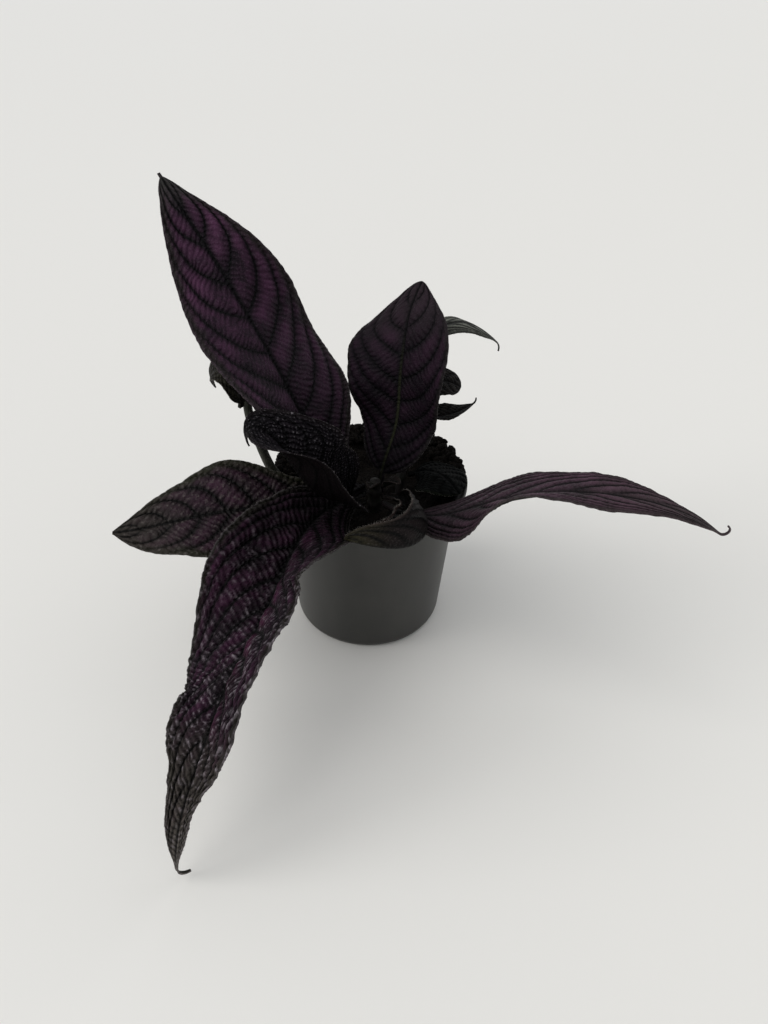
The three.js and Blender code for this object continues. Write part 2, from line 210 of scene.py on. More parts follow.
lip_start = pot_height - lip
outside = [(0, 0), (20, 0), (base_radius - base_edge, 0), (base_radius - 1.2, 1.2),
           (base_radius, base_edge), (wall_top, lip_start), (wall_top + 1.6, lip_start + 2.6),
           (rim_radius - 0.6, pot_height - 1.5), (rim_radius, pot_height - 0.9)]
inside = [(rim_radius - 0.5, pot_height), (rim_radius - 2, pot_height),
          (wall_top + 0.3, lip_start + 3.2), (wall_top - wall, lip_start),
          (base_radius - wall, base_edge), (base_radius - base_edge, wall), (20, wall), (0, wall)]
points, faces = around(rounded(outside + inside, 0.9, 4), 160)

pot_material = bpy.data.materials.new("pot_plastic")
tree, add = nodes_of(pot_material)
where = add("TexCoord")
grain = add("TexNoise", {"Vector": where.outputs["Object"], "Scale": 900.0, "Detail": 2.0})
dust = add("TexNoise", {"Vector": where.outputs["Object"], "Scale": 38.0, "Detail": 5.0,
                        "Roughness": 0.6})
flow = add("Mapping", {"Vector": where.outputs["Object"], "Scale": (60.0, 60.0, 7.0)})
streak = add("TexNoise", {"Vector": flow.outputs["Vector"], "Scale": 1.0, "Detail": 3.0})
blotch = add("Math", {0: dust.outputs["Fac"], 1: streak.outputs["Fac"]}, operation="MULTIPLY")
tone = two_tones(add, blotch.outputs["Value"], 0.12, (0.014, 0.014, 0.012),
                 0.42, (0.025, 0.024, 0.021))
rough = add("MapRange", {"Value": dust.outputs["Fac"], "To Min": 0.34, "To Max": 0.48})
bump = add("Bump", {"Height": grain.outputs["Fac"], "Strength": 0.12, "Distance": 0.0002})
surface = add("BsdfPrincipled", {"Base Color": tone, "Roughness": rough.outputs["Result"],
                                 "Normal": bump.outputs["Normal"]})
add("OutputMaterial", {"Surface": surface.outputs["BSDF"]})

pot = put("pot_shell", points, faces, pot_material)
plug_profile = [(0, -wall), (drain_radius, -wall), (drain_radius, 2 * wall), (0, 2 * wall)]
plug, plug_faces = around(plug_profile, 32)
angle = 2 * np.pi * (np.arange(drain_holes) + 0.5) / drain_holes
middle = np.stack([drain_circle * np.cos(angle), drain_circle * np.sin(angle), 0 * angle], -1)
plugs = (plug + middle[:, None]).reshape(-1, 3)
cutter = put("drain_plugs", plugs, repeated(plug_faces, len(plug), drain_holes), pot_material)
cut = pot.modifiers.new("drain", "BOOLEAN")
cut.object = cutter
bpy.context.view_layer.update()
bored = bpy.data.meshes.new_from_object(pot.evaluated_get(bpy.context.evaluated_depsgraph_get()))
pot.modifiers.clear()
pot.data = bored
bpy.data.objects.remove(cutter)
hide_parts("pot")
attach(pot, "root")


# Soil. Dark moist peat to a finger's breadth under the rim, in low hills and clods, heaped at the left
# and at the back right. Loose crumbs lie in a bank over the pot's lip all along the back.

soil_top = 87.0
soil_radius, soil_foot_radius, soil_foot = 52.0, 44.2, 4.2
soil_rings, soil_sides = 90, 240
crumb_count = 950


def noise(x, y, size, seed):
    """Smooth value noise from 0 to 1: random values on a lattice of that size, blended between."""
    lattice = np.random.default_rng(seed).random((64, 64))
    x, y = np.asarray(x) / size + 17.3, np.asarray(y) / size + 31.7
    i, j = np.floor(x).astype(int), np.floor(y).astype(int)
    fx, fy = x - i, y - j
    fx, fy = fx * fx * (3 - 2 * fx), fy * fy * (3 - 2 * fy)
    pick = lambda a, b: lattice[a % 64, b % 64]
    low = pick(i, j) * (1 - fx) + pick(i + 1, j) * fx
    high = pick(i, j + 1) * (1 - fx) + pick(i + 1, j + 1) * fx
    return low * (1 - fy) + high * fy


def soil_height(x, y):
    """Low hills from two sines, three heaps by the rim, and clods of three sizes."""
    hills = np.sin(0.13 * x + 1) * np.cos(0.11 * y) + 0.5 * np.sin(0.31 * x - 0.27 * y)
    heap = lambda cx, cy, high: high * np.exp(-((x - cx) ** 2 + (y - cy) ** 2) / 160)
    clods = 2.2 * noise(x, y, 6, 1) + 1.5 * noise(x, y, 2.8, 2) + 0.9 * noise(x, y, 1.3, 3)
    return soil_top + 1.6 * hills + heap(35, 38, 14) + heap(-44, 24, 7) + heap(-14, 48, 6) + clods - 2.0


radius = np.linspace(0.4, soil_radius, soil_rings)[:, None] * np.ones(soil_sides)
angle = np.linspace(0, 2 * np.pi, soil_sides, endpoint=False) * np.ones((soil_rings, 1))
x, y = radius * np.cos(angle), radius * np.sin(angle)
top = np.stack([x, y, soil_height(x, y)], -1)[::-1]
foot = np.stack([soil_foot_radius * np.cos(angle[0]), soil_foot_radius * np.sin(angle[0]),
                 np.full(soil_sides, soil_foot)], -1)
grid = np.concatenate([foot[None], top]).reshape(-1, 3)
faces = ring_quads(soil_rings + 1, soil_sides)
faces += [tuple(range(soil_sides - 1, -1, -1)), tuple(soil_rings * soil_sides + np.arange(soil_sides))]

soil_material = bpy.data.materials.new("soil_peat")
tree, add = nodes_of(soil_material)
where = add("TexCoord")
coarse = add("TexNoise", {"Vector": where.outputs["Object"], "Scale": 260.0, "Detail": 8.0,
                          "Roughness": 0.75})
fine = add("TexVoronoi", {"Vector": where.outputs["Object"], "Scale": 900.0})
tone = two_tones(add, coarse.outputs["Fac"], 0.35, (0.0015, 0.0011, 0.0009),
                 0.75, (0.011, 0.008, 0.006))
height = add("Math", {0: coarse.outputs["Fac"], 1: fine.outputs["Distance"]}, operation="ADD")
bump = add("Bump", {"Height": height.outputs["Value"], "Strength": 0.9, "Distance": 0.0012})
surface = add("BsdfPrincipled", {"Base Color": tone, "Roughness": 0.92, "Specular IOR Level": 0.1,
                                 "Normal": bump.outputs["Normal"]})
add("OutputMaterial", {"Surface": surface.outputs["BSDF"]})

soil = put("soil_bed", grid, faces, soil_material)
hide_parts("soil")
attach(soil, "root")

random = np.random.default_rng(12)
angle = np.radians(random.uniform(2, 172, crumb_count))
bank = np.exp(-((angle - 0.8) / 0.5) ** 2) + 0.5 * np.exp(-((angle - 2.6) / 0.4) ** 2)
radius = 58 + 2 * bank - 12 * random.random(crumb_count) ** 1.3
height = pot_height - 1.0 + (0.8 + 4.2 * bank) * random.random(crumb_count)
height = height - 0.35 * np.clip(56 - radius, 0, 9)
centre = np.stack([radius * np.cos(angle), radius * np.sin(angle), height], -1)
size = random.uniform(0.9, 2.3, (crumb_count, 1, 3))
ball, ball_faces = around([(0, -1), (0.8, -0.6), (1, 0), (0.8, 0.6), (0, 1)], 7)
twist = np.linalg.qr(random.normal(size=(crumb_count, 3, 3)))[0]
twist *= np.sign(np.linalg.det(twist))[:, None, None]
knobs = 1 + 0.4 * random.random((crumb_count, len(ball), 1))
lumps = np.einsum("nij,nkj->nki", twist, ball * size * knobs)
crumbs = (lumps + centre[:, None]).reshape(-1, 3)
loose = put("soil_crumbs", crumbs, repeated(ball_faces, len(ball), crumb_count), soil_material)
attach(loose, "root")


# Stems. Three green stems rise from the soil, swollen where leaf pairs grew: the main one, a thin one
# behind it at the right, and an old pale one that leans out at the left and carries a withered leaf.


def along(values, t):
    """A smooth curve through evenly spaced values, read at t from 0 to 1. Each stretch is a cubic
    whose slope at a value is half the step between that value's neighbours."""
    values = np.asarray(values, float)
    place = np.asarray(t) * (len(values) - 1)
    i = np.clip(np.floor(place).astype(int), 0, len(values) - 2)
    f = place - i
    if values.ndim > 1:
        f = f[:, None]
    a, b, c, d = (values[np.clip(i + k, 0, len(values) - 1)] for k in (-1, 0, 1, 2))
    return b + 0.5 * f * (c - a + f * (2 * a - 5 * b + 4 * c - d + f * (3 * (b - c) + d - a)))


def tube(path, radius, sides):
    """A closed round tube about a path of points, with a radius for each ring and side. A ring stands
    across the path: path + radius (cos angle * across + sin angle * up)."""
    ahead = np.gradient(path, axis=0)
    ahead /= np.linalg.norm(ahead, axis=1, keepdims=True)
    across = np.cross(ahead, [0.0, 1.0, 0.0])
    across /= np.linalg.norm(across, axis=1, keepdims=True)
    up = np.cross(ahead, across)
    angle = np.linspace(0, 2 * np.pi, sides, endpoint=False)[None, :, None]
    out = np.cos(angle) * across[:, None] + np.sin(angle) * up[:, None]
    rings = path[:, None] + radius[..., None] * out
    rows = len(path)
    ends = [tuple(range(sides - 1, -1, -1)), tuple((rows - 1) * sides + np.arange(sides))]
    return rings.reshape(-1, 3), ring_quads(rows, sides) + ends


def stem_material(name, dark, light, green):
    """Bark of a green stem: fine lengthwise grooves and blotches between a dark and a light tone,
    turning green at random."""
    material = bpy.data.materials.new(name)
    tree, add = nodes_of(material)
    where = add("TexCoord")
    stretch = add("Mapping", {"Vector": where.outputs["Object"], "Scale": (1500.0, 1500.0, 150.0)})
    groove = add("TexNoise", {"Vector": stretch.outputs["Vector"], "Scale": 1.0, "Detail": 4.0})
    blotch = add("TexNoise", {"Vector": where.outputs["Object"], "Scale": 160.0, "Detail": 4.0})
    tone = two_tones(add, groove.outputs["Fac"], 0.35, dark, 0.68, light)
    tinge = add("MapRange", {"Value": blotch.outputs["Fac"], "From Min": 0.45, "From Max": 0.65})
    mixed = add("MixRGB", {"Fac": tinge.outputs["Result"], "Color1": tone, "Color2": (*green, 1)})
    bump = add("Bump", {"Height": groove.outputs["Fac"], "Strength": 0.6, "Distance": 0.0005})
    surface = add("BsdfPrincipled", {"Base Color": mixed.outputs["Color"], "Roughness": 0.62,
                                     "Specular IOR Level": 0.2, "Normal": bump.outputs["Normal"]})
    add("OutputMaterial", {"Surface": surface.outputs["BSDF"]})
    return material


def stem_piece(name, node, path, radius, tip_radius, joints, material):
    """A stem along its path, its radius going evenly from radius to tip_radius, with a bell-shaped
    swelling at each joint's height, four faint ribs and a rounded end."""
    rows, sides = 110, 28
    swelling, swelling_reach = 0.7, 2.2
    t = np.linspace(0, 1, rows)
    centre = along(path, t)
    thick = radius + (tip_radius - radius) * t
    for height in joints:
        thick = thick + swelling * np.exp(-((centre[:, 2] - height) / swelling_reach) ** 2)
    thick *= np.sqrt(np.clip((1 - t) / 0.03, 0.15, 1))
    angle = np.linspace(0, 2 * np.pi, sides, endpoint=False)
    rough = noise(angle * 9, 0 * angle, 1.5, 4) - 0.5
    ribbed = thick[:, None] * (1 + 0.035 * np.cos(4 * angle) + 0.03 * rough)
    points, faces = tube(centre, ribbed, sides)
    piece = put(name, points, faces, material)
    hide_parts(node)
    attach(piece, "root")


young_bark = stem_material("stem_young", dark=(0.004, 0.003, 0.003), light=(0.011, 0.009, 0.008),
                           green=(0.007, 0.008, 0.005))
old_bark = stem_material("stem_old", dark=(0.006, 0.006, 0.004), light=(0.055, 0.055, 0.042),
                         green=(0.012, 0.014, 0.007))
main_path = [[4, -16, 58], [4, -16, 82], [4, -16.5, 98], [4.5, -17, 110]]
rear_path = [[19, 2, 60], [19, 3, 88], [22.5, 12, 115], [24, 20, 140], [24, 23, 166]]
old_path = [[-38, -6, 60], [-42, -6, 86], [-54, -3.5, 101.5], [-60.5, -1, 113], [-68.5, 4, 137],
            [-70, 6, 150]]
stem_piece("main_stem_bark", "main_stem", main_path, 4, 3, [93, 102], young_bark)
stem_piece("rear_stem_bark", "rear_stem", rear_path, 2.7, 1.7, [96, 130, 142], young_bark)
stem_piece("old_stem_bark", "old_stem", old_path, 3.4, 2.4, [98, 128], old_bark)


# Tall leaf. The largest blade of the plant, up to the left on a short stalk: thin, stiff and quilted
# between side veins that sweep forward and run on beside the margin, with a ladder of fine ridges.

blade_thickness = 0.7
stalk_half_width = 1.5
rib_depth, rib_half_width = 2.6, 1.8
vein_depth = 0.35


def half_width(leaf, b):
    """Half the blade's width at b, from 0 at its base to 1 at its tip: a rise and a fall by powers
    that meet at the widest place, times a curve of corrections."""
    b = np.clip(b, 1e-9, 1 - 1e-9)
    m = leaf["widest"]
    form = ((b / m) ** m * ((1 - b) / (1 - m)) ** (1 - m)) ** leaf["slim"]
    return leaf["width"] / 2 * form * along(leaf["shape"], b)


def midrib(leaf, rows):
    """The leaf's middle line and its axes: each step turns to a heading, a rise and a bank. Past the
    blade a thread-like tip can run on for the hook's reach and turn up by its turn."""
    reach, turn = leaf["hook"]
    past = np.concatenate([np.zeros(rows), np.linspace(0, 1, 13)[1:] if reach else []])
    t = np.minimum(1, np.arange(len(past)) / (rows - 1))
    pace = np.where(past[1:] > 0, reach / 12, leaf["length"] / (rows - 1))
    heading, rise, bank = (np.radians(along(leaf[key], t)) for key in ("heading", "rise", "bank"))
    rise = rise + math.radians(turn) * past
    ahead = np.stack([np.cos(rise) * np.cos(heading), np.cos(rise) * np.sin(heading), np.sin(rise)], -1)
    level = np.stack([-np.sin(heading), np.cos(heading), 0 * heading], -1)
    upright = np.cross(ahead, level)
    left = np.cos(bank)[:, None] * level + np.sin(bank)[:, None] * upright
    face = np.cos(bank)[:, None] * upright - np.sin(bank)[:, None] * level
    steps = (ahead[1:] + ahead[:-1]) / 2 * pace[:, None]
    path = np.array(leaf["start"], float) + np.concatenate([np.zeros((1, 3)), np.cumsum(steps, 0)])
    return t, np.concatenate([[0], np.cumsum(pace)]), path, left, face


def leaf_relief(leaf, b, u, side, half, along_mm):
    """How far the blade stands out, and its marks: vein, bay, ridge, and distance from the margin.
    b and u are the places along and across. Side veins lie where the phase is whole, the bays
    between them bulge, and a ladder of ridges, broken into beads, crosses the bays: each is the sine
    of a distance over the ladder's pitch, raised to a power and shifted by noise."""
    span = leaf["length"] - leaf["stalk"]
    reach = leaf["sweep"] * (0.12 * u + 0.18 * u ** 3.5)
    lean = leaf["sweep"] * (0.12 + 0.63 * u ** 2.5)
    rib_mm = u * half
    place = rib_mm * side
    drift = 0.16 * (noise(along_mm, place * 0.5, 16, 8) - 0.5)
    phase = leaf["veins"] * (b - reach) + 0.07 * side + drift
    bay = np.round(phase - 0.5)
    offset = np.abs(phase - np.round(phase))
    slant = half / np.hypot(half, span * lean)
    vein_mm = offset * span / leaf["veins"] * slant
    inside = 1 - (1 - np.clip(2 * offset, 0, 1)) ** 2.2
    away = 1 - np.exp(-(rib_mm / 2.4) ** 2)
    margin = np.clip((half - rib_mm) / leaf["margin"], 0, 1)
    jitter = np.modf(np.abs(np.sin(bay * 12.9898 + side * 4.1)) * 437.58)[0]
    wander = 1.5 * (noise(along_mm, place, 11, 5) - 0.5) + 0.7 * (noise(along_mm, place, 4, 6) - 0.5)
    wander = leaf["wild"] * wander
    step = (0.77 * along_mm + 0.64 * rib_mm) / leaf["ladder"] + jitter + wander
    ridge = np.abs(np.sin(np.pi * step)) ** 0.7
    cross = (0.64 * along_mm - 0.77 * rib_mm) / leaf["ladder"] * 1.2 + 1.7 * jitter - wander
    beads = np.abs(np.sin(np.pi * cross)) ** 0.6
    ridge = ridge * (1 - leaf["beads"] + leaf["beads"] * beads)
    patch = np.clip(noise(along_mm, place, 20, 7) * 1.6 - 0.3, 0, 1)
    depth = leaf["ridges"][0] + (leaf["ridges"][1] - leaf["ridges"][0]) * patch
    depth = depth * np.clip(along_mm / leaf["calm"], 0.2, 1)
    share = np.clip(half / 12, 0, 1)
    groove = np.exp(-(rib_mm / 0.9) ** 2)
    wave = leaf["wave"] * share * u ** 2 * np.sin(2 * np.pi * leaf["waves"] * b + 1.3 * side)
    swell = inside * away * (0.35 + 0.65 * margin ** 0.7)
    ladder = depth * share * away * (ridge - 0.5) * inside ** 0.5
    height = leaf["quilt"] * share * (swell - 0.55) + ladder
    height = height + wave - 0.5 * groove * np.clip(half / 4, 0, 1)
    height = height + leaf["crumple"] * share * away * (2 * noise(along_mm, place, 6, 10) - 1)
    vein = np.exp(-(vein_mm / leaf["line"]) ** 2) * away
    vein = vein * (1 - 0.4 * u) * np.clip((1.02 - u) / 0.3, 0.2, 1)
    line = np.exp(-(rib_mm / 0.75) ** 2) * np.clip(half / 3, 0, 1)
    rung = (1 - ridge) * (1 - leaf["fade"] * inside ** 2)
    marks = np.stack([np.maximum(vein, line), inside * away, 1 - rung, margin], -1)
    return height, np.clip(marks, 0, 1)


def leaf_sheet(leaf, rows, columns):
    """The upper face as a grid of points with its normals, marks and flat places in millimetres.
    Each half leaves the midrib at fold, turned by skew and cup, and its length across is summed up."""
    t, mm, path, left, face = midrib(leaf, rows)
    mm = mm[:, None]
    span = leaf["length"] - leaf["stalk"]
    b = (mm[:, 0] - leaf["stalk"]) / span
    blade = np.where((b > 0) & (b < 1), half_width(leaf, b), 0)
    tooth = leaf["teeth"] * (noise(mm[:, 0], 0 * b, 2.4, 9) - 0.5) * np.clip(blade / 12, 0, 1)
    past = np.clip(mm[:, 0] - leaf["length"], 0, 12) / 12
    thread = (stalk_half_width + (leaf["end"] - stalk_half_width) * t) * (1 - 0.5 * past)
    half = (np.hypot(blade, thread) + tooth)[:, None]
    fold, skew = (np.radians(along(leaf[key], t))[:, None] for key in ("fold", "skew"))
    cup = math.radians(leaf["cup"])
    u = np.linspace(0, 1, columns + 1)[None]
    middle = (u[:, 1:] + u[:, :-1]) / 2
    halves = []
    for side in (1, -1):
        soften = (middle * half) ** 2 / ((middle * half) ** 2 + 1.0)
        slope = (fold + side * skew + cup * middle) * soften
        run = np.concatenate([0 * half, np.cumsum(np.cos(slope), 1) / columns * half], 1)
        lift = np.concatenate([0 * half, np.cumsum(np.sin(slope), 1) / columns * half], 1)
        angle = (fold + side * skew + cup * u) * (u * half) ** 2 / ((u * half) ** 2 + 1.0)
        out = side * left[:, None]
        point = path[:, None] + run[..., None] * out + lift[..., None] * face[:, None]
        normal = -np.sin(angle)[..., None] * out + np.cos(angle)[..., None] * face[:, None]
        height, marks = leaf_relief(leaf, b[:, None], u + 0 * half, side, half, mm + 0 * u)
        point = point + normal * height[..., None]
        flat = np.stack([side * u * half, mm + 0 * u], -1)
        together = np.concatenate([point, normal, marks, flat], -1)
        halves.append(together[:, ::-1] if side > 0 else together[:, 1:])
    both = np.concatenate(halves, 1)
    return t, both[..., :3], both[..., 3:6], both[..., 6:10], both[..., 10:]


def margin_hairs(upper, normal, count, length):
    """Short hairs along both margins: three-sided closed cones that point outwards and a little
    towards the tip, at random places from the rows of the upper face's grid."""
    hair_radius, hair_sink = 0.055, 0.1
    random = np.random.default_rng(count)
    row = random.integers(len(upper) // 8, len(upper) - 2, count)
    side = random.integers(0, 2, count)
    edge, inner = np.where(side, -1, 0), np.where(side, -2, 1)
    part = random.random((count, 1))
    foot = upper[row, edge] * (1 - part) + upper[row + 1, edge] * part - 0.3 * normal[row, edge]
    out = upper[row, edge] - upper[row, inner]
    out /= np.linalg.norm(out, axis=1, keepdims=True) + 1e-9
    ahead = upper[row + 1, edge] - upper[row, edge]
    ahead /= np.linalg.norm(ahead, axis=1, keepdims=True) + 1e-9
    way = out + 0.4 * ahead + 0.35 * random.normal(size=(count, 3))
    way /= np.linalg.norm(way, axis=1, keepdims=True)
    one = np.cross(way, ahead + 0.1)
    one /= np.linalg.norm(one, axis=1, keepdims=True)
    two = np.cross(way, one)
    turn = np.radians([0, 120, 240])[:, None, None]
    ring = foot - hair_sink * way + hair_radius * (np.cos(turn) * one + np.sin(turn) * two)
    apex = foot + way * length * random.uniform(0.5, 1.2, (count, 1))
    points = np.concatenate([ring, apex[None]]).transpose(1, 0, 2).reshape(-1, 3)
    faces = np.array([[0, 1, 3], [1, 2, 3], [2, 0, 3], [2, 1, 0]]) + 4 * np.arange(count)[:, None, None]
    return points, faces.reshape(-1, 3)


def leaf_piece(name, node, leaf, rows, columns, materials):
    """A closed leaf: the upper face, an under face one thickness below it with the ribs standing
    out, strips round the edge, and hairs. The marks and flat places go along as a colour and a UV map.

    The leaf's lists are read evenly from its start to its end. heading, rise and bank (degrees) turn
    the midrib; fold, skew and cup (degrees) turn the two halves about it; length, width, stalk and
    the margin's breadth are millimetres; widest, slim and shape give the outline; veins is a count
    and sweep how far they run forward; quilt, ridges, wave and crumple are heights; ladder is the
    ridges' pitch, broken up by beads, fade, wild and calm; hook, end, teeth and hairs are the tip's
    reach and turn, its half width, the edge's depth, and the hairs' count and length."""
    plain = {"skew": [0, 0], "cup": 0, "shape": [1, 1], "hook": (0, 0), "teeth": 0.7, "beads": 0.3,
             "ladder": 3.4, "sweep": 1.0, "line": 0.65, "margin": 5.0, "fade": 0.75,
             "crumple": 0.3, "end": 0.5, "calm": 20, "wild": 1.0, "hairs": (240, 0.8)}
    leaf = {**plain, **leaf}
    t, upper, normal, marks, flat = leaf_sheet(leaf, rows, columns)
    rows, wide = upper.shape[:2]
    rib = rib_depth + (blade_thickness * 1.2 - rib_depth) * t[:, None]
    distance = np.abs(flat[..., 0])
    beam = np.sqrt(np.clip(1 - (distance / rib_half_width) ** 2, 0, 1))
    depth = blade_thickness + (rib - blade_thickness) * beam
    raised = marks[..., 0] * (distance > rib_half_width)
    depth = depth + vein_depth * raised * np.clip(1.2 - distance / 25, 0.3, 1)
    under = upper - normal * depth[..., None]
    points = np.concatenate([upper.reshape(-1, 3), under.reshape(-1, 3)])
    row, column = np.meshgrid(np.arange(rows - 1), np.arange(wide - 1), indexing="ij")
    corner = row * wide + column
    quads = np.stack([corner, corner + 1, corner + wide + 1, corner + wide], -1).reshape(-1, 4)
    below = quads[:, ::-1] + rows * wide
    count = rows * wide
    first, last = np.arange(wide - 1), (rows - 1) * wide + np.arange(wide - 1)
    start = np.arange(rows - 1) * wide
    stop = start + wide - 1
    edges = [np.stack([first, first + count, first + 1 + count, first + 1], -1),
             np.stack([last, last + 1, last + 1 + count, last + count], -1),
             np.stack([start, start + wide, start + wide + count, start + count], -1),
             np.stack([stop, stop + count, stop + wide + count, stop + wide], -1)]
    faces = np.concatenate([quads, below] + edges)
    hairs, hair_faces = margin_hairs(upper, normal, *leaf["hairs"])
    hair_faces = hair_faces + len(points)
    points = np.concatenate([points, hairs])
    piece = put(name, points, faces.tolist() + hair_faces.tolist(), materials[0])
    mesh = piece.data
    mesh.materials.append(materials[1])
    mesh.materials.append(hair_material)
    kind = np.zeros(len(mesh.polygons), int)
    kind[len(quads):2 * len(quads)] = 1
    kind[len(faces):] = 2
    mesh.polygons.foreach_set("material_index", kind)
    shades = np.concatenate([marks.reshape(-1), marks.reshape(-1), np.zeros(4 * len(hairs))])
    colour = mesh.color_attributes.new("marks", "FLOAT_COLOR", "POINT")
    colour.data.foreach_set("color", shades)
    uv = mesh.uv_layers.new(name="flat")
    corners = np.empty(len(mesh.loops), int)
    mesh.loops.foreach_get("vertex_index", corners)
    spots = np.concatenate([flat.reshape(-1, 2), flat.reshape(-1, 2), np.zeros((len(hairs), 2))])
    uv.data.foreach_set("uv", (spots[corners] / 1000).reshape(-1))
    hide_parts(node)
    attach(piece, "root")


# The pale speck colour paints highlights, glints of light on the ridge tops, and also the hair fringe
# along the edge.
def leaf_material(name, bay, dark, margin, glint_and_hair, amount=0.5, shine=0.08, rung=0.12, patches=45.0,
                  cover=0.36, foot=(0.02, 0.09), tip=(0, 0, 0), tip_from=1.0, tip_to=2.0, fringe=0.3,
                  specks=(0.0, 0.02), grain=1100.0, relief=0.0009, rib=(0, 0, 0), rib_to=0.0,
                  flush=(0, 0, 0), flush_to=0.0):
    """A leaf skin by its marks: coloured bays, weaker between patches and, as painted shade, at the
    leaf's foot, that darken towards the veins and between the ridges, the latter partly the fine veins'
    dark and partly painted shade in the grooves; a flush beside the midrib; a dull margin and tip; a
    paler lower rib; nearly black vein lines; painted highlights as pale glints on the ridge tops, light
    on the pebbles and their short hair; pale hair in a fringe along the edge; and a stalk painted dark
    as shade. Places along the leaf are in metres from its start."""
    material = bpy.data.materials.new(name)
    tree, add = nodes_of(material)

    def ramp(value, low, high, first=0.0, last=1.0):
        """The value's way from low to high made to run from first to last, and held beyond."""
        reach = {"Value": value, "From Min": low, "From Max": high, "To Min": first, "To Max": last}
        return add("MapRange", reach).outputs["Result"]

    def join(operation, *values, **settings):
        """The values joined by a sum, a product or another operation."""
        return add("Math", dict(enumerate(values)), operation=operation, **settings).outputs["Value"]

    def noise_of(scale, detail):
        """Fine uneven noise over the flat leaf."""
        look = {"Vector": flat, "Scale": scale, "Detail": detail, "Roughness": 0.7}
        return add("TexNoise", look).outputs["Fac"]

    def blend(share, under, over):
        """The colour under, with that share of the colour over it."""
        pair = [c if isinstance(c, bpy.types.NodeSocket) else (*c, 1) for c in (under, over)]
        return add("MixRGB", {"Fac": share, "Color1": pair[0], "Color2": pair[1]}).outputs["Color"]

    marks = add("Attribute", attribute_name="marks")
    parts = add("SeparateColor", {"Color": marks.outputs["Color"]})
    vein, inner, ridge = (parts.outputs[channel] for channel in ("Red", "Green", "Blue"))
    inland = marks.outputs["Alpha"]
    flat = add("UVMap", uv_map="flat").outputs["UV"]
    place = add("SeparateXYZ", {"Vector": flat})
    across, up = place.outputs["X"], place.outputs["Y"]
    patch = noise_of(patches, 6.0)
    cells = add("TexVoronoi", {"Vector": flat, "Scale": 800.0}).outputs["Distance"]
    fine = noise_of(1100.0, 3.0)

    full = join("MULTIPLY", ramp(patch, cover, cover + 0.26, 0.1), inner)
    # Between the ridges the colour sinks to rung: partly the fine cross veins' own dark, partly painted
    # shade in the grooves.
    groove_veins_and_shade = ramp(ridge, 0, 0.8, rung)
    full = join("MULTIPLY", full, groove_veins_and_shade)
    # Painted shade: the bays fade towards the leaf's crowded foot, over the span given by foot.
    full = join("MULTIPLY", full, ramp(up, foot[0], foot[1], 0.35))
    beside, beyond = ramp(across, 0.001, 0.004), ramp(across, 0.009, 0.016, 1, 0)
    before = ramp(up, flush_to - 0.05, flush_to, 1, 0)
    band = join("MULTIPLY", join("MULTIPLY", beside, beyond), before)
    begun = ramp(up, specks[0], specks[1], 0.1)
    band = join("MULTIPLY", band, begun)
    skin = blend(full, dark, blend(band, bay, flush))
    skin = blend(ramp(join("ADD", inland, patch), 0.7, 1.25, 1, 0), skin, margin)
    skin = blend(join("MULTIPLY", ramp(up, tip_from, tip_to), groove_veins_and_shade), skin, tip)

    # Painted highlights: ridge tops, in noisy patches set by grain and amount, are blended to the pale
    # speck colour as glints of light on the pebbles and their hair; the edge fringe added to them is
    # hair.
    tops = join("POWER", ridge, 4.0)
    tops = join("MULTIPLY", tops, ramp(noise_of(grain, 3.0), 0.5, 0.7, 0, amount))
    tops = join("MULTIPLY", tops, begun)
    edge = join("MULTIPLY", ramp(inland, 0, 0.16, fringe, 0), fine)
    skin = blend(join("ADD", tops, edge, use_clamp=True), skin, glint_and_hair)
    skin = blend(ramp(vein, 0.05, 0.7, 0, 0.92), skin, [0.35 * part for part in dark])
    thin = ramp(join("ABSOLUTE", across), 0.0004, 0.0011, 1, 0)
    lower = ramp(up, rib_to - 0.04, rib_to, 0.8, 0)
    skin = blend(join("MULTIPLY", thin, lower), skin, rib)
    # Painted shade: the stalk and the first 35 mm of the leaf blend towards a deeper dark.
    skin = blend(ramp(up, 0.004, 0.035, 0.25), [0.6 * part for part in dark], skin)

    pores = add("Bump", {"Height": join("ADD", cells, fine), "Strength": 0.7, "Distance": 0.0004})
    bump = add("Bump", {"Height": ridge, "Strength": 0.8, "Distance": relief,
                        "Normal": pores.outputs["Normal"]})
    surface = add("BsdfPrincipled", {"Base Color": skin, "Roughness": 0.5,
                                     "Specular IOR Level": shine, "Normal": bump.outputs["Normal"]})
    add("OutputMaterial", {"Surface": surface.outputs["BSDF"]})
    return material


hair_material = bpy.data.materials.new("leaf_hair")
tree, add = nodes_of(hair_material)
surface = add("BsdfPrincipled", {"Base Color": (0.20, 0.185, 0.165, 1), "Roughness": 0.6})
add("OutputMaterial", {"Surface": surface.outputs["BSDF"]})

